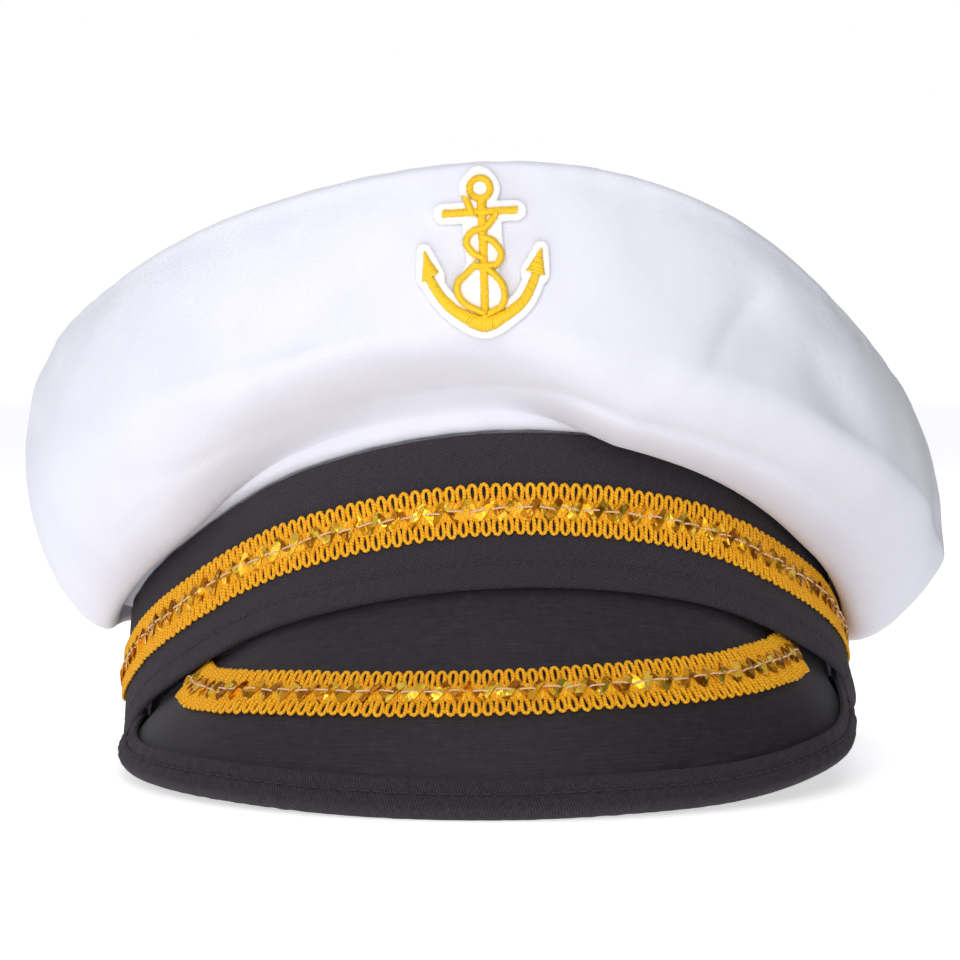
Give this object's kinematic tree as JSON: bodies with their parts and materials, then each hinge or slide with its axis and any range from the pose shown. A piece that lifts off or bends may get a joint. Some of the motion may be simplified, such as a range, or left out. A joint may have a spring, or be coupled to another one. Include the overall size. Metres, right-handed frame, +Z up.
{
  "type": "captain hat",
  "caption": "Soft white captain's cap with a slouched round crown on a black headband, a stiff black peak, gold braid on band and peak, and an embroidered anchor on the front.",
  "frame": {"origin": "on the surface the hat rests on, under the middle of the hat's box", "axes": "+Z up, -Y to the front, where the peak is, +X to the side that is on the right when the hat is seen from the front"},
  "size_m": [0.2404, 0.2638, 0.1482],
  "materials": {
    "white_cotton": "plain white cotton, matt, softly padded",
    "black_twill": "black cotton twill with a fine diagonal rib",
    "black_satin": "black satin with a fine crosswise grain and a soft sheen",
    "black_binding": "black bias binding with one row of stitches",
    "gold_braid": "woven gold braid: two rows of yarn loops with a zigzag of gold film down the middle",
    "white_felt": "white felt",
    "yellow_thread": "yellow satin stitch embroidery"
  },
  "bodies": {
    "root": {"crown_front": "white_cotton", "crown_back": "white_cotton", "crown_top": "white_cotton", "band": "black_twill", "band_braid": "gold_braid", "visor": "black_satin", "visor_binding": "black_binding", "visor_braid": "gold_braid", "badge_backing": "white_felt", "badge_anchor": "yellow_thread"}
  },
  "joints": []
}
